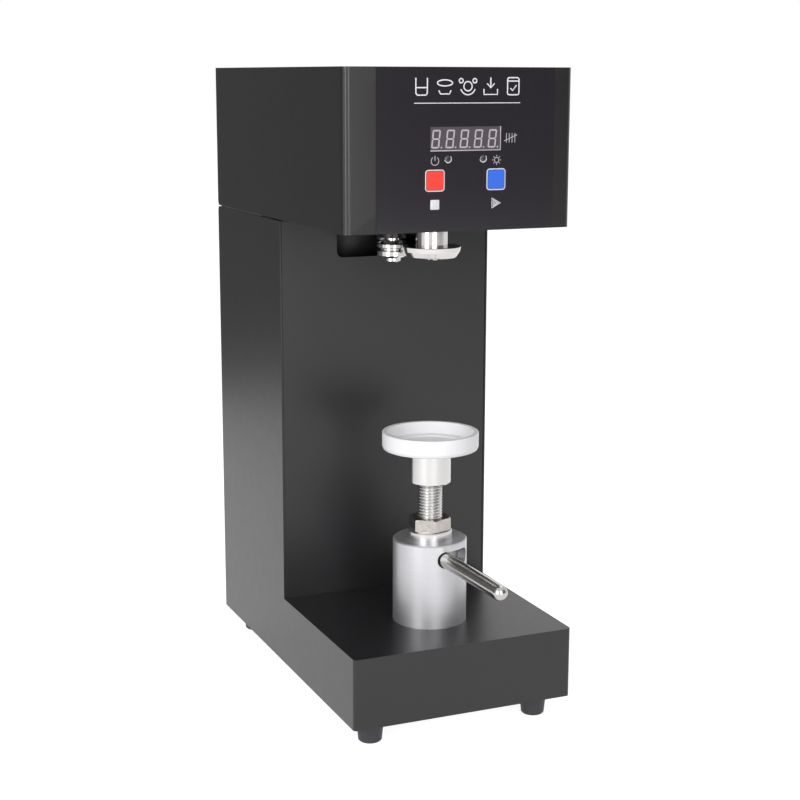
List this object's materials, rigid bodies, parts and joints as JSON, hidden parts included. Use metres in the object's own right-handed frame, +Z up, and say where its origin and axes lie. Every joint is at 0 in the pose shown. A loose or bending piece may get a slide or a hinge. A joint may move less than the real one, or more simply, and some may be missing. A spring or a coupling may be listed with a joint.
{
  "type": "can seamer",
  "caption": "Desktop can seamer: box head with a driven chuck and seaming rolls on a column above a hand-lifted, height-adjustable can tray.",
  "frame": {"origin": "on the floor below the middle of the overall width and length, handle at rest", "axes": "+Z up, +X to the operator's right, +Y to the rear; the spindle axis is vertical at X 0"},
  "size_m": [0.188, 0.3862, 0.518],
  "materials": {
    "black_sheet": "satin powder coat",
    "front_sheet": "satin powder coat",
    "zinc_plate": "zinc plated",
    "rubber_foot": "moulded rubber",
    "overlay_film": "gloss printed film",
    "display": "tinted display window",
    "lamp_lens": "clear lens",
    "red_key": "moulded key",
    "blue_key": "moulded key",
    "circuit_board": "coated laminate",
    "machined_steel": "turned steel",
    "polished_steel": "polished stainless steel",
    "turned_aluminium": "satin turned aluminium",
    "nickel_nut": "nickel plated",
    "white_plastic": "turned acetal",
    "black_iron": "blackened steel",
    "drive_rubber": "flat belt",
    "motor_paint": "enamel",
    "black_plastic": "moulded plastic"
  },
  "bodies": {
    "machine": {"base_plate": "zinc_plate", "board_standoffs": "zinc_plate", "body_shell": "black_sheet", "column_front_panel": "black_sheet", "column_top_plate": "zinc_plate", "control_board": "circuit_board", "control_overlay": "overlay_film", "cover_screws": "machined_steel", "display_module": "display", "drive_belt": "drive_rubber", "drive_controller": "turned_aluminium", "drive_motor": "motor_paint", "foot_front_left": "rubber_foot", "foot_front_right": "rubber_foot", "foot_rear_left": "rubber_foot", "foot_rear_right": "rubber_foot", "foot_studs": "zinc_plate", "head_cover": "front_sheet", "head_plate": "machined_steel", "head_plate_bolts": "zinc_plate", "head_tray": "black_sheet", "lever_motor": "motor_paint", "lever_pivot_post": "machined_steel", "lift_cylinder": "turned_aluminium", "lift_mount_plate": "zinc_plate", "lift_screws": "machined_steel", "lower_spindle_bearing": "machined_steel", "pivot_nut": "machined_steel", "power_inlet": "black_plastic", "power_lamp": "lamp_lens", "power_switch": "black_plastic", "rear_panel": "black_sheet", "spindle_housing": "machined_steel", "upper_spindle_bearing": "machined_steel", "work_lamp": "lamp_lens"},
    "drive_rotor": {"spindle": "polished_steel", "seaming_chuck": "polished_steel", "chuck_screw": "machined_steel", "spindle_pulley": "turned_aluminium"},
    "motor_rotor": {"motor_shaft": "machined_steel", "motor_pulley": "turned_aluminium"},
    "roll_rocker": {"roll_lever": "black_iron", "roll_pins": "machined_steel"},
    "first_roll": {"first_seaming_roll": "polished_steel"},
    "second_roll": {"second_seaming_roll": "polished_steel"},
    "sector_pinion": {"lever_pinion": "machined_steel"},
    "cam": {"cam_sleeve": "machined_steel", "lift_handle": "polished_steel"},
    "piston": {"lift_piston": "turned_aluminium", "piston_guide_pins": "machined_steel"},
    "jam_nut": {"lock_nut": "nickel_nut"},
    "tray_carrier": {"tray_bearing": "machined_steel"},
    "adjusting_screw": {"height_screw": "machined_steel"},
    "tray": {"tray_hub": "turned_aluminium", "can_tray": "white_plastic", "tray_screw": "machined_steel"},
    "stop_key": {"stop_button": "red_key"},
    "start_key": {"start_button": "blue_key"},
    "switch_rocker": {"power_rocker": "black_plastic"}
  },
  "joints": [
    {"name": "spindle_spin", "type": "hinge", "parent": "machine", "child": "drive_rotor", "pos_m": [0, -0.06745, 0.397], "axis": [0, 0, 1], "continuous": true},
    {"name": "motor_spin", "type": "hinge", "parent": "machine", "child": "motor_rotor", "pos_m": [0, 0.12255, 0.397], "axis": [0, 0, 1], "continuous": true},
    {"name": "seaming_lever_swing", "type": "hinge", "parent": "machine", "child": "roll_rocker", "pos_m": [0, 0.02455, 0.397], "axis": [0, 0, 1], "range_deg": [-7, 7]},
    {"name": "first_roll_spin", "type": "hinge", "parent": "roll_rocker", "child": "first_roll", "pos_m": [-0.017, -0.02995, 0.369], "axis": [0, 0, 1], "continuous": true},
    {"name": "second_roll_spin", "type": "hinge", "parent": "roll_rocker", "child": "second_roll", "pos_m": [0.017, -0.02995, 0.369], "axis": [0, 0, 1], "continuous": true},
    {"name": "lever_pinion_turn", "type": "hinge", "parent": "machine", "child": "sector_pinion", "pos_m": [0, 0.06205, 0.397], "axis": [0, 0, 1], "range_deg": [-28.1, 28.1]},
    {"name": "handle_swing", "type": "hinge", "parent": "machine", "child": "cam", "pos_m": [0, -0.06745, 0.076], "axis": [0, 0, 1], "range_deg": [0, 36]},
    {"name": "piston_lift", "type": "slide", "parent": "machine", "child": "piston", "axis": [0, 0, 1], "range_m": [0, 0.00801]},
    {"name": "lock_nut_turn", "type": "hinge", "parent": "piston", "child": "jam_nut", "pos_m": [0, -0.06745, 0.1517], "axis": [0, 0, 1], "range_deg": [0, 90]},
    {"name": "height_adjust", "type": "slide", "parent": "piston", "child": "tray_carrier", "axis": [0, 0, 1], "range_m": [-0.028, 0.025]},
    {"name": "screw_turn", "type": "hinge", "parent": "tray_carrier", "child": "adjusting_screw", "pos_m": [0, -0.06745, 0.1517], "axis": [0, 0, 1], "range_deg": [-4033, 3601]},
    {"name": "tray_spin", "type": "hinge", "parent": "tray_carrier", "child": "tray", "pos_m": [0, -0.06745, 0.1906], "axis": [0, 0, 1], "continuous": true},
    {"name": "stop_key_press", "type": "slide", "parent": "machine", "child": "stop_key", "axis": [0, 1, 0], "range_m": [0, 0.0005], "stiffness_N_per_m": 800},
    {"name": "start_key_press", "type": "slide", "parent": "machine", "child": "start_key", "axis": [0, 1, 0], "range_m": [0, 0.0005], "stiffness_N_per_m": 800},
    {"name": "power_switch_rock", "type": "hinge", "parent": "machine", "child": "switch_rocker", "pos_m": [0.008, 0.18475, 0.064], "axis": [1, 0, 0], "range_deg": [-16, 0]}
  ],
  "couplings": [
    {"joint": "motor_spin", "follows": "spindle_spin", "ratio": 2},
    {"joint": "lever_pinion_turn", "follows": "seaming_lever_swing", "ratio": -4},
    {"joint": "piston_lift", "follows": "handle_swing", "m_per_rad": 0.012732},
    {"joint": "screw_turn", "follows": "height_adjust", "rad_per_m": 2513.3}
  ]
}
